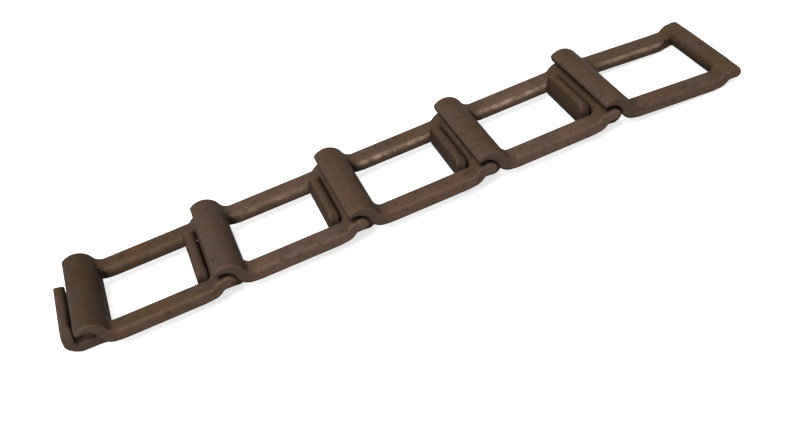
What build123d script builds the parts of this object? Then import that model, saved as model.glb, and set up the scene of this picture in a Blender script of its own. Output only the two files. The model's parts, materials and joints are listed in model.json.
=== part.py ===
from build123d import *
import math
import os

# Detachable conveyor chain: pressed steel links that hook into each other with no
# pins. Millimetres, +X along the chain, +Z up, the links lying on their hooks.

# ---- chain ----
link_count = 5
pitch = 42.0  # hook to hook
link_width = 36.8  # over both side bars

# ---- strip that each link is stamped from ----
strip_thickness = 3.6
side_bar_width = 5.8
side_bar_drop = 1.2  # side bars' mid-plane below the hook's centre
edge_break = 0.5  # tumbled edges of the stamping

# ---- end bar ----
bar_radius = 3.4  # rolled round between the side bars
bar_rise = 0.3  # its axis above the hook's centre
bar_swage_length = 1.6  # how far the round part runs out into each end
bar_swage_radius = 1.6
flat_rise = 0.45  # mid-plane of the flat ends above the bar's axis
bar_crown = 0.25  # of the bar's pressed top above the flat ends
nose_setback = 0.15  # of the flat ends from the bar's outer side
nose_over = 2.2  # rounded outer edge of the flat ends, above
nose_under = 1.3  # and below
joggle_start = 3.6  # where the side bars begin to rise, before the bar's axis
joggle_end = 1.4  # where they reach its height
joggle_round = 1.0  # inside radius of both bends

# ---- hook ----
hook_clearance = 0.35  # round an end bar at the hook's centre
seat_clearance = 0.15  # under the end bar that lies in the hook
seat_shift = 0.1  # of that bar, towards the leg
roof_radius = 5.7  # outside of the arched roof
roof_overhang = 2.0  # free edge past the hook's centre
roof_tip = 2.0  # thickness at the free edge
leg_round = 3.2  # inside of the bend from the roof to the side bars
heel_round = 4.6  # outside of the same bend, below
tongue_thickness = 3.2  # strip drawn thinner where it is curled
tongue_clearance = 0.4  # tongue to window, each side
tongue_corner = 1.3  # inside radius where it turns under the bar
lip_bend = 2.9  # inside radius where it turns up again
lip_play = 1.1  # further room before the lip, to hook the links up
lip_height = 1.5  # top of the lip above the hook's centre
lip_edge = 1.1  # rounded long edges of the lip
lip_corner = 2.8  # rounded corners of the lip, seen from its flat side

hook_inner = bar_radius + hook_clearance
hook_outer = hook_inner + strip_thickness
hook_bottom = hook_inner + tongue_thickness
lip_inner = hook_inner + lip_play
lip_outer = lip_inner + tongue_thickness
window_width = link_width - 2 * side_bar_width
tongue_width = window_width - 2 * tongue_clearance
half_strip = strip_thickness / 2
strip_top = half_strip - side_bar_drop
strip_bottom = -half_strip - side_bar_drop
bar_x = pitch + seat_shift
flat_middle = bar_rise + flat_rise
flat_top = flat_middle + half_strip

# The roof's outside is an arc from the free edge down to the outside of the leg.
tip_bottom = math.sqrt(hook_inner**2 - roof_overhang**2)
tip_top = tip_bottom + roof_tip
roof_x = hook_outer - roof_radius
roof_z = tip_top - math.sqrt(roof_radius**2 - (roof_overhang + roof_x) ** 2)

# The outside of the bend below the hook runs on from the inside of the hook in an S.
heel_z = strip_bottom + heel_round
heel_angle = math.asin(heel_z / (hook_inner + heel_round))
heel_x = (hook_inner + heel_round) * math.cos(heel_angle)
heel_start = (hook_inner * math.cos(heel_angle), hook_inner * math.sin(heel_angle))

# Each link stands on its hook, and its end bar lies in the bottom of the next hook.
# The last one has no hook to hold it, so it drops to the surface.
bar_sag = hook_clearance - seat_clearance
bar_reach = math.hypot(bar_x, bar_rise)
bar_angle = math.degrees(math.atan(bar_rise / bar_x))
lean = math.degrees(math.asin(bar_sag / bar_reach)) + bar_angle
droop = math.degrees(math.asin((hook_bottom - bar_radius) / bar_reach)) + bar_angle
step = bar_reach * math.cos(math.radians(lean - bar_angle)) - seat_shift
last_reach = bar_reach * math.cos(math.radians(droop - bar_angle)) + bar_radius
middle = ((link_count - 1) * step + last_reach - lip_outer) / 2


def joggle_line(side):
    """Corners of the strip's top (side +1) or bottom (-1), left to right."""
    rise = side_bar_drop + flat_middle
    slope = math.atan2(rise, joggle_start - joggle_end)
    shift = -side * half_strip * math.tan(slope / 2)
    level = flat_middle + side * half_strip
    return [
        (bar_x - joggle_start + shift, level - rise),
        (bar_x - joggle_end + shift, level),
    ]


def roof_and_bars():
    """Roof of the hook, the strip behind it and the flat ends of the end bar."""
    nose = bar_x + bar_radius - nose_setback
    foot = math.asin((strip_top - roof_z) / roof_radius)
    foot_point = (roof_x + roof_radius * math.cos(foot), strip_top)
    outer_bend = joggle_round + strip_thickness
    with BuildPart() as body:
        with BuildSketch(Plane.XZ) as section:
            with BuildLine():
                inner = RadiusArc(
                    (-roof_overhang, tip_bottom),
                    heel_start,
                    hook_inner,
                    short_sagitta=True,
                )
                heel = RadiusArc(
                    inner @ 1, (heel_x, strip_bottom), -heel_round, short_sagitta=True
                )
                FilletPolyline(
                    heel @ 1,
                    *joggle_line(-1),
                    (nose, flat_middle - half_strip),
                    (nose, flat_top),
                    *reversed(joggle_line(1)),
                    foot_point,
                    radius=[
                        outer_bend,
                        joggle_round,
                        nose_under,
                        nose_over,
                        outer_bend,
                        joggle_round,
                    ],
                )
                outer = RadiusArc(
                    foot_point,
                    (-roof_overhang, tip_top),
                    -roof_radius,
                    short_sagitta=True,
                )
                Line(outer @ 1, inner @ 0)
            make_face()
            inside = section.vertices().sort_by_distance(foot_point)[0]
            fillet(inside, radius=leg_round)
        extrude(amount=link_width / 2, both=True)
        chamfer(body.faces().filter_by(Axis.Y).edges(), length=edge_break)
    return body


def tongue():
    """Tongue struck from the window, curled under the end bar into a lip."""
    with BuildPart() as body:
        with BuildSketch(Plane.XZ):
            with BuildLine():
                FilletPolyline(
                    (hook_inner, roof_z),
                    (hook_inner, -hook_inner),
                    (-lip_inner, -hook_inner),
                    (-lip_inner, lip_height),
                    (-lip_outer, lip_height),
                    (-lip_outer, -hook_bottom),
                    (hook_outer, -hook_bottom),
                    (hook_outer, roof_z),
                    radius=[
                        tongue_corner,
                        lip_bend,
                        lip_edge,
                        lip_edge,
                        lip_bend + tongue_thickness,
                        tongue_corner + tongue_thickness,
                    ],
                )
                Line((hook_outer, roof_z), (hook_inner, roof_z))
            make_face()
        extrude(amount=tongue_width / 2, both=True)
        with BuildSketch(Plane.YZ):
            with Locations((tongue_width / 2 - lip_corner, lip_height - lip_corner)):
                Rectangle(lip_corner, lip_corner, align=(Align.MIN, Align.MIN))
                Circle(lip_corner, mode=Mode.SUBTRACT)
            mirror(about=Plane.YZ)
        extrude(amount=-lip_outer, mode=Mode.SUBTRACT)
    return body


def end_bar():
    """Round middle of the end bar, pressed flat on top and swaged into its ends."""
    half_window = window_width / 2
    with BuildPart() as body:
        with BuildSketch(Plane.XY.offset(bar_rise)):
            with BuildLine():
                Polyline(
                    (bar_x, 0),
                    (bar_x + bar_radius, 0),
                    (bar_x + bar_radius, half_window),
                    (bar_x + bar_swage_radius, half_window + bar_swage_length),
                    (bar_x, half_window + bar_swage_length),
                    close=True,
                )
            make_face()
        revolve(axis=Axis((bar_x, 0, bar_rise), (0, 1, 0)))
        mirror(about=Plane.XZ)
        split(bisect_by=Plane.XY.offset(flat_top + bar_crown), keep=Keep.BOTTOM)
    return body


def one_link(body, struck, bar):
    """One whole link with its hook's centre at the origin."""
    window_start = roof_x
    window_end = bar_x + bar_radius + edge_break
    with BuildPart() as link:
        add(body.part)
        with BuildSketch(Plane.XZ):
            with Locations(((window_start + window_end) / 2, 0)):
                Rectangle(window_end - window_start, 3 * hook_outer)
            with Locations((roof_x, roof_z)):
                Circle(roof_radius, mode=Mode.SUBTRACT)
        extrude(amount=window_width / 2, both=True, mode=Mode.SUBTRACT)
        add(struck.part)
        add(bar.part)
    return link


def placed(link, number):
    """The numbered link at rest, hooked over the end bar of the one before."""
    along = (number - 1) * step - middle
    tilt = droop if number == link_count else lean
    with BuildPart() as part:
        with Locations(Location((along, 0, hook_bottom), (0, tilt, 0))):
            add(link.part)
    part.part.label = f"link_{number}"
    return part


os.makedirs("parts", exist_ok=True)
link = one_link(roof_and_bars(), tongue(), end_bar())
for number in range(1, link_count + 1):
    piece = placed(link, number)
    export_step(piece.part, f"parts/{piece.part.label}.step")
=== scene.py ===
import bpy
import json
import math
from mathutils import Matrix, Quaternion, Vector


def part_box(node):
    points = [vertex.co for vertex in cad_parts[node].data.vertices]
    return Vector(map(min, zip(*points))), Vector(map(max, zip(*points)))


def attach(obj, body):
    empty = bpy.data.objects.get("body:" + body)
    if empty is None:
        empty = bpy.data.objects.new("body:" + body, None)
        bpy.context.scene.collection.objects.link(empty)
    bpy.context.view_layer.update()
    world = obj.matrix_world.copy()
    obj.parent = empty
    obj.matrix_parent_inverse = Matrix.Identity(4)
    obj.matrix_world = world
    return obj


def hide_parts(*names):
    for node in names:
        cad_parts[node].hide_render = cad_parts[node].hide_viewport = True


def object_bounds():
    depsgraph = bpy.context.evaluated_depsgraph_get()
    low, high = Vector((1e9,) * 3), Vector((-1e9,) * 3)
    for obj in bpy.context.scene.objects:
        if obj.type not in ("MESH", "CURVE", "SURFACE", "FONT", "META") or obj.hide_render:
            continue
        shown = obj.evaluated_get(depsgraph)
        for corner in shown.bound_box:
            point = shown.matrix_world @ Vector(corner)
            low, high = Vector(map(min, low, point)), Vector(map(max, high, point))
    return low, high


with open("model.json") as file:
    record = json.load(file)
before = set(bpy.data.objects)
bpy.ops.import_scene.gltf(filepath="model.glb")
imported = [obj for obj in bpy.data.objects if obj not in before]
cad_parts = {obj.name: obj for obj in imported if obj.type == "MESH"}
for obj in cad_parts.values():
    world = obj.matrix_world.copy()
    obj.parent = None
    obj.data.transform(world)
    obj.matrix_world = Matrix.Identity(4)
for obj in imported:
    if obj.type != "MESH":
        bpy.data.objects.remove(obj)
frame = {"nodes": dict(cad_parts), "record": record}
cad_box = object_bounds()

# Five pressed-steel links with rolled edges and a mottled brown oxide finish, on a white
# floor. Lengths are in metres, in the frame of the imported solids. Colours are given as
# they look on screen, 0 to 255. A pair of numbers is where a change begins and ends,
# along a distance, the way that a face looks, or a noise.

# ---- camera ----
SENSOR = 36.0  # mm
LENS = 47.26  # mm
CLIP = (0.01, 20.0)
CAMERA_AT = (-0.04627, -0.25922, 0.19744)
CAMERA_TURN = (0.87408, 0.43670, 0.03089, -0.21053)
CAMERA_SHIFT = (0.0014, -0.0114)

# ---- one link, in its own x, y and z from its hook's centre ----
SAG = 0.0002  # an end bar lies this far below the hook's centre
SHIFT = 0.0001  # and this far along from it
LEAN = math.radians(0.68)  # of a link at rest
DROOP = math.radians(5.25)  # of the last link, which has no hook to lie in
HALF_WIDTH = 0.0184
WINDOW = 0.0126  # half of its width
TONGUE = 0.0122  # half of its width
BAR_TOP = 0.0006  # of the side bars
BAR_START, BAR_END = (0.0075, 0.0100), (0.0350, 0.0380)  # their straight part
END_BAR_X, END_BAR_Z, END_BAR_RADIUS = 0.0421, 0.0003, 0.0034
LIP_IN, LIP_OUT = 0.00485, 0.00805  # faces of the tongue's lip, before the centre

# ---- rolled edges ----
VOXEL = 0.00032
SOFTEN = 9  # rounds of smoothing
THIN = 0.30  # share of the faces that is kept
GROW = 0.00008  # what the smoothing takes off, given back
GROW_BARS = 0.00020  # and more on the side bars
HOOK_INSIDE = 0.0046  # but nothing nearer than this to the hook's centre
INWARD = 0.0005  # the side bars' inner walls move this far into the window
INWARD_FADE = (WINDOW + 0.0005, WINDOW + 0.0035)
ROUND_IN = 0.0015  # upper inner edges, rubbed by the wheel's teeth
ROUND_OUT = 0.0011  # upper outer edges
LEAST_ROUND = 0.0002
FILL = 0.11  # growth of the flat ends about the end bar, up to its radius
FILL_FROM = 0.0110  # across the link
FILL_ALONG, FILL_UP = (-0.0005, 0.0010), (-0.0012, 0.0002)  # from the end bar's centre
CURL_TRIM = 0.0007  # off each side of the curled tongue, to keep it clear of the walls
CURL_TOP = -0.0032  # it lies under the side bars
CURL_END = (0.0010, 0.0060)
CURL_WIDTH = TONGUE + 0.0006  # half of what counts as tongue
LIP_BACK = LIP_IN - 0.0004  # and what counts as its lip
LIP_START = (-0.0040, -0.0010)
LIP_RISE = 0.0013  # the lip stands a little higher
LIP_LEAN = 0.32  # and leans this much over its height
LIP_BEND = 0.0015  # which it reaches over about this height

# ---- colours ----
BROWN = (75, 58, 43)
WARM = (88, 60, 43)
OLIVE = (74, 61, 36)
GREY = (76, 62, 54)
DARK = (38, 28, 20)
# painted shade on walls across the chain and on undersides
WALL_SHADE = (40, 31, 28)
UNDER_SHADE = (22, 17, 14)
# painted light on the roof's slope facing its free edge, painted shade on the slope facing
# the leg
ROOF_LIT = (86, 72, 62)  # roof, towards its free edge
ROOF_SHADED = (62, 45, 30)  # roof, towards the leg
# painted shade over the whole roof
ROOF_SHADOW = (42, 32, 20)
LIGHT = (104, 83, 72)  # side bars
# painted light on the outer sides of the side bars
SIDE_LIT = (100, 79, 67)  # outer sides
# edges a little brighter: partly real rubbing, partly a painted glint
RIDGE = (120, 98, 78)
# painted shade in inside corners and where other faces of the link are near
CREASE_SHADE = (22, 16, 12)
CLOSE_SHADE = (20, 15, 12)
# painted highlight on the side bars' rounded upper inner edges
PAINTED_HIGHLIGHT = (170, 144, 124)
SHEEN = (150, 120, 95)

# ---- how much of them each link has ----
# share of the painted highlight on each link
HIGHLIGHT_SHARE = (0.10, 0.27, 0.70, 0.75, 0.50)  # upper inner edges
# share of painted shade over the roof of each link
ROOF_SHADOWED = (0.40, 0.05, 0.0, 0.0, 0.0)  # roof
PALER = (0.0, 0.30, 0.18, 0.36, 0.10)  # side bars

# ---- and where they lie on it ----
ROOF_START, ROOF_END, ROOF_UP = (-0.0045, -0.0035), (0.0060, 0.0080), (0.0, 0.0015)
LIGHT_START, LIGHT_END = (0.0070, 0.0110), (0.0360, 0.0400)
SIDE_START, SIDE_ACROSS = (0.0070, 0.0100), (0.0165, 0.0182)
HOOK_END = (0.0070, 0.0090)
# where the painted highlight lies
HIGHLIGHT_START, HIGHLIGHT_END, HIGHLIGHT_ACROSS = (0.0085, 0.0125), (0.0345, 0.0375), (0.0145, 0.0155)
# reach of the painted shade between nearby faces
SHUT_IN = 0.0045  # other faces of the link within this distance darken a spot

# ---- floor and light ----
FLOOR_HALF = 3.0
FLOOR_GAP = 0.00002  # below the chain
FLOOR_DULL, FLOOR_CLEAN = (216, 215, 213), (222, 221, 219)
FLOOR_GLOW = 0.72
SKY, BACKDROP = 0.32, 1.0  # strength as a light, and as seen
LAMPS = (  # name, place, side of the square, power
    ("key", (-0.28, -0.30, 0.65), 0.45, 8.0),
    ("fill", (0.30, 0.30, 0.70), 0.6, 1.5),
)


def srgb(colour):
    """A colour as it looks on screen, 0 to 255, as Blender's linear one."""
    out = []
    for v in colour:
        c = v / 255
        out.append(c / 12.92 if c <= 0.04045 else ((c + 0.055) / 1.055) ** 2.4)
    return (*out, 1.0)


def new_object(name, data):
    made = bpy.data.objects.new(name, data)
    bpy.context.scene.collection.objects.link(made)
    return made


class Nodes:
    """Short way to fill a node tree."""

    def __init__(self, tree):
        self.tree = tree
        tree.nodes.clear()

    def add(self, kind, inputs=None, **settings):
        node = self.tree.nodes.new(kind)
        for key, value in settings.items():
            setattr(node, key, value)
        for key, value in (inputs or {}).items():
            self.put(node.inputs[key], value)
        return node

    def put(self, socket, value):
        if isinstance(value, bpy.types.NodeSocket):
            self.tree.links.new(value, socket)
        else:
            socket.default_value = value

    def math(self, operation, *values, clamp=False):
        node = self.add("ShaderNodeMath", operation=operation, use_clamp=clamp)
        for socket, value in zip(node.inputs, values):
            self.put(socket, value)
        return node.outputs[0]

    def product(self, first, *others):
        for other in others:
            first = self.math("MULTIPLY", first, other)
        return first

    def vector(self, operation, a, b):
        node = self.add("ShaderNodeVectorMath", {0: a, 1: b}, operation=operation)
        return node.outputs[0]

    def split(self, vector):
        return self.add("ShaderNodeSeparateXYZ", {0: vector}).outputs

    def mix(self, factor, a, colour):
        """From a to a colour on screen."""
        node = self.add("ShaderNodeMix", data_type="RGBA", blend_type="MIX")
        self.put(node.inputs["Factor"], factor)
        self.put(node.inputs["A"], a)
        self.put(node.inputs["B"], srgb(colour))
        return node.outputs["Result"]

    def rise(self, value, span, low=0.0, high=1.0):
        """From low to high as the value goes through the span."""
        inputs = {
            "Value": value,
            "From Min": span[0],
            "From Max": span[1],
            "To Min": low,
            "To Max": high,
        }
        return self.add("ShaderNodeMapRange", inputs, clamp=True).outputs[0]

    def fall(self, value, span, high=1.0, low=0.0):
        """From high to low as the value goes through the span."""
        return self.rise(value, span, high, low)

    def noise(self, vector, scale, detail, rough, warp=0.0):
        inputs = {
            "Vector": vector,
            "Scale": scale,
            "Detail": detail,
            "Roughness": rough,
            "Distortion": warp,
        }
        return self.add("ShaderNodeTexNoise", inputs).outputs["Fac"]

    def seen(self):
        """1 where the camera looks, straight or by way of something shiny or clear."""
        rays = self.add("ShaderNodeLightPath").outputs
        seen = self.math("MAXIMUM", rays["Is Camera Ray"], rays["Is Glossy Ray"])
        return self.math("MAXIMUM", seen, rays["Is Transmission Ray"])

    def end(self, kind, shader):
        self.add(kind, {"Surface": shader})


def new_material(name):
    material = bpy.data.materials.new(name)
    material.use_nodes = True
    return material, Nodes(material.node_tree)


# ---- camera ----
def add_camera():
    data = bpy.data.cameras.new("camera")
    data.sensor_fit = "HORIZONTAL"
    data.sensor_width = SENSOR
    data.lens = LENS
    data.clip_start, data.clip_end = CLIP
    data.shift_x, data.shift_y = CAMERA_SHIFT
    camera = new_object("camera", data)
    camera.rotation_mode = "QUATERNION"
    camera.location = CAMERA_AT
    camera.rotation_quaternion = Quaternion(CAMERA_TURN)
    bpy.context.scene.camera = camera


# ---- brown oxide on pressed steel, with painted shade and highlights ----
class Spot:
    """What a link's material knows about the spot that it colours."""

    def __init__(self, n, seed, hook, tilt):
        coords = n.add("ShaderNodeTexCoord").outputs
        place = coords["Object"]
        from_hook = n.vector("SUBTRACT", place, tuple(hook))
        turn = {"Vector": from_hook, "Center": (0, 0, 0), "Axis": (0, 1, 0), "Angle": -tilt}
        level = n.add("ShaderNodeVectorRotate", turn, rotation_type="AXIS_ANGLE")
        self.x, y, self.z = n.split(level.outputs[0])
        self.across = n.math("ABSOLUTE", y)
        self.facing_x, facing_y, self.facing_z = n.split(coords["Normal"])
        self.facing_ends = n.math("ABSOLUTE", self.facing_x)
        self.facing_sides = n.math("ABSOLUTE", facing_y)
        self.bend = n.add("ShaderNodeNewGeometry").outputs["Pointiness"]

        moved = n.vector("ADD", place, (0.31 * seed, 0.17 * seed, 0.09 * seed))
        aside = n.vector("ADD", moved, (2.3, 1.1, 0.7))
        beyond = n.vector("ADD", moved, (5.3, 4.1, 3.7))
        self.wide = n.noise(moved, 45, 2.0, 0.5, 0.2)
        self.other = n.noise(aside, 85, 4.0, 0.65, 0.3)
        self.patch = n.noise(moved, 130, 3.0, 0.6, 0.3)
        self.mottle = n.noise(beyond, 330, 3.0, 0.6, 0.2)
        self.speck = n.noise(moved, 420, 3.0, 0.6)
        self.grain = n.noise(moved, 1500, 4.0, 0.65)


def mottled_brown(n, spot):
    colour = n.mix(n.rise(spot.wide, (0.40, 0.60)), srgb(BROWN), GREY)
    colour = n.mix(n.rise(spot.patch, (0.48, 0.68), 0.0, 0.50), colour, WARM)
    colour = n.mix(n.rise(spot.other, (0.48, 0.66), 0.0, 0.65), colour, OLIVE)
    colour = n.mix(n.rise(spot.mottle, (0.52, 0.66), 0.0, 0.42), colour, WARM)
    return n.mix(n.fall(spot.mottle, (0.34, 0.46), 0.6), colour, GREY)


def with_roof(n, spot, colour, shadowed):
    """Roof with painted light on the slope facing its free edge, paler and greyer, painted
    shade on the slope facing the leg, browner, and painted shade over the roofs of some
    links.
    """
    roof = n.product(
        n.rise(spot.x, ROOF_START),
        n.fall(spot.x, ROOF_END),
        n.rise(spot.z, ROOF_UP),
        n.fall(spot.facing_sides, (0.3, 0.6)),
    )
    # painted light and painted shade on the roof's two slopes
    lit_slope = n.product(roof, n.fall(spot.facing_x, (-0.70, 0.10), 0.6))
    shaded_slope = n.product(roof, n.rise(spot.facing_x, (0.0, 0.60), 0.0, 0.6))
    colour = n.mix(lit_slope, colour, ROOF_LIT)
    colour = n.mix(shaded_slope, colour, ROOF_SHADED)
    # painted shade over the roofs of some links
    return n.mix(n.product(roof, shadowed), colour, ROOF_SHADOW)


def with_bars(n, spot, colour, paler):
    """Side bars of some links paler, and painted light on their outer sides."""
    bars = n.product(
        n.rise(spot.x, LIGHT_START),
        n.fall(spot.x, LIGHT_END),
        n.rise(spot.patch, (0.35, 0.62), 0.4 * paler, 1.5 * paler),
    )
    colour = n.mix(bars, colour, LIGHT)
    # painted light where the outer sides face across the chain
    outer = n.product(
        n.rise(spot.across, SIDE_ACROSS),
        n.rise(spot.facing_sides, (0.40, 0.90)),
        n.rise(spot.x, SIDE_START),
        n.rise(spot.mottle, (0.36, 0.60), 0.3 + paler, 0.6 + paler),
    )
    return n.mix(outer, colour, SIDE_LIT)


def with_specks(n, spot, colour):
    colour = n.mix(n.fall(spot.speck, (0.28, 0.44), 0.55), colour, DARK)
    return n.mix(n.fall(spot.grain, (0.35, 0.65), 0.28), colour, DARK)


def with_hook_ends(n, spot, colour):
    """End faces of the hooks greyer."""
    faces = n.product(
        n.rise(spot.facing_sides, (0.6, 0.9), 0.0, 0.7), n.fall(spot.x, HOOK_END)
    )
    return n.mix(faces, colour, GREY)


def with_edges(n, spot, colour):
    """Edges a little brighter, partly rubbed and partly a painted glint; painted shade in
    inside corners and between nearby faces of the link.
    """
    # edges a little brighter: partly real rubbing, partly a painted glint
    rub_and_glint = n.product(
        n.rise(spot.bend, (0.515, 0.60)), n.rise(spot.patch, (0.35, 0.60), 0.03, 0.20)
    )
    colour = n.mix(rub_and_glint, colour, RIDGE)
    # painted shade in inside corners and creases
    colour = n.mix(n.fall(spot.bend, (0.42, 0.490), 0.85), colour, CREASE_SHADE)
    shut_in = n.add(
        "ShaderNodeAmbientOcclusion", {"Distance": SHUT_IN}, samples=8, only_local=True
    )
    return n.mix(n.fall(shut_in.outputs["AO"], (0.35, 0.95), 0.9), colour, CLOSE_SHADE)


def painted_highlight_band(n, spot):
    """Painted highlight along the rounded upper inner edges of the side bars."""
    return n.product(
        n.rise(spot.x, HIGHLIGHT_START),
        n.fall(spot.x, HIGHLIGHT_END),
        n.rise(spot.facing_z, (-0.02, 0.28)),
        n.fall(spot.facing_z, (0.45, 0.80)),
        n.fall(spot.across, HIGHLIGHT_ACROSS),
        n.rise(spot.mottle, (0.36, 0.60), 0.25, 1.0),
    )


def oxide_steel(name, count, hook, tilt):
    material, n = new_material(name)
    spot = Spot(n, count + 1, hook, tilt)
    colour = mottled_brown(n, spot)
    colour = with_roof(n, spot, colour, ROOF_SHADOWED[count % len(ROOF_SHADOWED)])
    colour = with_bars(n, spot, colour, PALER[count % len(PALER)])
    colour = with_specks(n, spot, colour)
    colour = with_hook_ends(n, spot, colour)

    # Painted shade: walls across the chain darker than the tops, undersides nearly black.
    wall = n.product(
        n.fall(spot.facing_z, (0.10, 0.80), 0.8), n.rise(spot.facing_ends, (0.3, 0.8), 0.15)
    )
    under = n.fall(spot.facing_z, (-0.55, 0.1), 0.85)
    colour = n.mix(wall, colour, WALL_SHADE)
    colour = n.mix(under, colour, UNDER_SHADE)

    colour = with_edges(n, spot, colour)
    highlight = painted_highlight_band(n, spot)
    # painted highlight on the upper inner edges
    colour = n.mix(n.product(highlight, HIGHLIGHT_SHARE[count % len(HIGHLIGHT_SHARE)]), colour, PAINTED_HIGHLIGHT)

    rough = n.rise(spot.patch, (0.3, 0.7), 0.54, 0.66)
    rough = n.math("ADD", rough, n.rise(spot.grain, (0.3, 0.7), -0.04, 0.04))
    rough = n.math("SUBTRACT", rough, n.product(highlight, 0.08))
    dull = n.product(n.math("MAXIMUM", wall, under), 0.3)
    rough = n.math("ADD", rough, dull, clamp=True)

    fine = {"Strength": 0.22, "Distance": 0.00008, "Height": spot.grain}
    fine = n.add("ShaderNodeBump", fine).outputs[0]
    pits = {"Strength": 0.5, "Distance": 0.0003, "Height": spot.speck, "Normal": fine}
    pits = n.add("ShaderNodeBump", pits).outputs[0]

    steel = {
        "Base Color": colour,
        "Roughness": rough,
        "Metallic": 0.35,
        "Specular IOR Level": 0.10,
        "Specular Tint": srgb(SHEEN),
        "Normal": pits,
    }
    n.end("ShaderNodeOutputMaterial", n.add("ShaderNodeBsdfPrincipled", steel).outputs[0])
    return material


# ---- links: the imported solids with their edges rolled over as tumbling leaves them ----
def smooth_step(value, span):
    low, high = span
    t = min(max((value - low) / (high - low), 0.0), 1.0)
    return t * t * (3 - 2 * t)


def round_edge(u, v, radius):
    """Moves a point that is u and v inside an edge's two faces into the edge's rounding."""
    if radius > LEAST_ROUND and u < radius and v < radius:
        reach = math.hypot(radius - u, radius - v)
        if reach > radius:
            pull = radius / reach
            return radius - (radius - u) * pull, radius - (radius - v) * pull
    return u, v


def shape_bars(at, bars):
    """Side bars' inner walls a little nearer each other, their upper edges rounded."""
    side = 1 if at.y > 0 else -1
    across = abs(at.y)
    across -= INWARD * bars * (1 - smooth_step(across, INWARD_FADE))
    top = BAR_TOP + GROW_BARS * bars
    wall = WINDOW - (INWARD + GROW_BARS) * bars
    u, v = round_edge(across - wall, top - at.z, ROUND_IN * bars)
    across, at.z = wall + u, top - v
    u, v = round_edge(HALF_WIDTH - across, top - at.z, ROUND_OUT * bars)
    across, at.z = HALF_WIDTH - u, top - v
    at.y = side * across


def shape_flat_ends(at):
    """Flat ends flush with the end bar's outer side."""
    along, up = at.x - END_BAR_X, at.z - END_BAR_Z
    reach = math.hypot(along, up)
    if along > FILL_ALONG[0] and abs(at.y) > FILL_FROM and reach > 0:
        fill = FILL * smooth_step(along, FILL_ALONG) * smooth_step(up, FILL_UP)
        scale = min(1 + fill, max(1.0, END_BAR_RADIUS / reach))
        at.x, at.z = END_BAR_X + along * scale, END_BAR_Z + up * scale


def shape_curl(at):
    """Curl a little narrower, its lip higher and leaning over the end bar it holds."""
    in_lip = at.x < -LIP_BACK
    if at.z < CURL_TOP or in_lip:
        at.y *= 1 - (1 - smooth_step(at.x, CURL_END)) * (CURL_TRIM / TONGUE)
    if in_lip:
        t = smooth_step(at.z, LIP_START)
        at.z += LIP_RISE * t
        over = max(at.z - LIP_START[0], 0.0)
        at.z -= LIP_LEAN * t * (at.x + (LIP_IN + LIP_OUT) / 2)
        at.x += LIP_LEAN * over * over / (over + LIP_BEND)


def shape_link(mesh):
    """Moves the vertices a little, in the link's own x, y and z."""
    normals = [vertex.normal.copy() for vertex in mesh.vertices]
    for vertex, normal in zip(mesh.vertices, normals):
        at = vertex.co.copy()
        bars = smooth_step(at.x, BAR_START) * (1 - smooth_step(at.x, BAR_END))
        if math.hypot(at.x, at.z) > HOOK_INSIDE:
            at += normal * (GROW + GROW_BARS * bars)
        if bars > 0 and abs(at.y) > TONGUE:
            shape_bars(at, bars)
        shape_flat_ends(at)
        if abs(at.y) < CURL_WIDTH:
            shape_curl(at)
        vertex.co = at


def remeshed(piece):
    """The piece's mesh in small even faces with softened edges, thinned out again."""
    remesh = piece.modifiers.new("remesh", "REMESH")
    remesh.mode = "VOXEL"
    remesh.voxel_size = VOXEL
    smooth = piece.modifiers.new("smooth", "SMOOTH")
    smooth.factor = 0.5
    smooth.iterations = SOFTEN
    thin = piece.modifiers.new("thin", "DECIMATE")
    thin.ratio = THIN
    graph = bpy.context.evaluated_depsgraph_get()
    mesh = bpy.data.meshes.new_from_object(piece.evaluated_get(graph))
    piece.modifiers.clear()
    return mesh


def rolled_copy(node_name, material, hook, tilt):
    """A copy of the solid, reworked in the link's own frame and kept inside its box."""
    old = frame["nodes"][node_name].data.copy()
    piece = new_object("rolled_" + node_name, old)
    own = Matrix.Translation(hook) @ Matrix.Rotation(tilt, 4, "Y")
    old.transform(own.inverted())
    mesh = remeshed(piece)
    piece.data = mesh
    bpy.data.meshes.remove(old)
    shape_link(mesh)
    mesh.transform(own)
    low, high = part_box(node_name)
    for vertex in mesh.vertices:
        vertex.co = [min(max(v, a), b) for v, a, b in zip(vertex.co, low, high)]
    mesh.shade_smooth()
    mesh.materials.clear()
    mesh.materials.append(material)
    return piece


def hook_centres():
    """Each hook's centre, from the hinges between the links."""
    joints = frame["record"]["behaviour"]["joints"]
    hinges = [Vector(joint["pos_m"]) for joint in joints]
    step = hinges[1] - hinges[0]
    return [at + Vector((-SHIFT, 0, SAG)) for at in [hinges[0] - step] + hinges]


def add_links():
    names = sorted(frame["nodes"])
    bodies = frame["record"]["behaviour"]["bodies"]
    for count, (node_name, hook) in enumerate(zip(names, hook_centres())):
        tilt = DROOP if node_name == names[-1] else LEAN
        material = oxide_steel("oxide_" + node_name, count, hook, tilt)
        solid = frame["nodes"][node_name].data
        solid.materials.clear()
        solid.materials.append(material)
        piece = rolled_copy(node_name, material, hook, tilt)
        body = next(b for b, held in bodies.items() if node_name in held)
        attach(piece, body)
        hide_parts(node_name)


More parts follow.
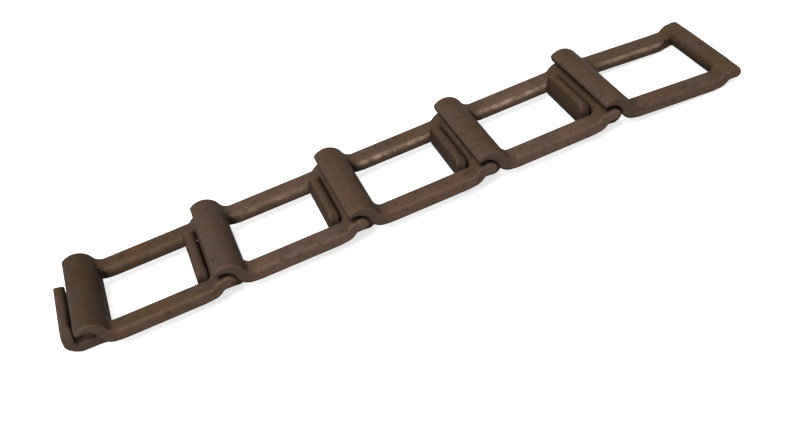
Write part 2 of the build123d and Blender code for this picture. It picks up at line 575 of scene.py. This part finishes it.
# ---- floor ----
def white_floor():
    """Matt white with a glow that only the camera sees, so that shadows stay faint."""
    material, n = new_material("floor_white")
    seen = n.seen()
    cloudy = n.noise(n.add("ShaderNodeTexCoord").outputs["Object"], 9, 2.0, 0.55)
    pale = n.mix(n.rise(cloudy, (0.3, 0.7)), srgb(FLOOR_DULL), FLOOR_CLEAN)
    matt = n.add("ShaderNodeBsdfDiffuse", {"Color": pale}).outputs[0]
    glow = {"Color": (1, 1, 1, 1), "Strength": FLOOR_GLOW}
    glow = n.add("ShaderNodeEmission", glow).outputs[0]
    both = n.add("ShaderNodeAddShader", {0: matt, 1: glow}).outputs[0]
    pick = n.add("ShaderNodeMixShader", {0: seen, 1: matt, 2: both}).outputs[0]
    n.end("ShaderNodeOutputMaterial", pick)
    return material


def add_floor():
    half = FLOOR_HALF
    corners = [(-half, -half, 0), (half, -half, 0), (half, half, 0), (-half, half, 0)]
    mesh = bpy.data.meshes.new("floor")
    mesh.from_pydata(corners, [], [(0, 1, 2, 3)])
    mesh.materials.append(white_floor())
    floor = new_object("floor", mesh)
    floor.location = (0, 0, cad_box[0][2] - FLOOR_GAP)


# ---- light ----
def add_lamp(name, at, size, power):
    data = bpy.data.lights.new(name, "AREA")
    data.shape = "RECTANGLE"
    data.size = data.size_y = size
    data.energy = power
    lamp = new_object(name, data)
    lamp.location = at
    lamp.rotation_euler = (-Vector(at)).to_track_quat("-Z", "Y").to_euler()


def add_world():
    """Soft light from all round, and plain white where the camera sees past the floor."""
    world = bpy.data.worlds.new("studio")
    bpy.context.scene.world = world
    world.use_nodes = True
    n = Nodes(world.node_tree)
    white = (1, 1, 1, 1)
    sky = n.add("ShaderNodeBackground", {"Color": white, "Strength": SKY}).outputs[0]
    back = {"Color": white, "Strength": BACKDROP}
    back = n.add("ShaderNodeBackground", back).outputs[0]
    pick = n.add("ShaderNodeMixShader", {0: n.seen(), 1: sky, 2: back}).outputs[0]
    n.end("ShaderNodeOutputWorld", pick)


add_camera()
add_links()
add_floor()
add_world()
for lamp in LAMPS:
    add_lamp(*lamp)
bpy.context.scene.view_settings.view_transform = "Standard"
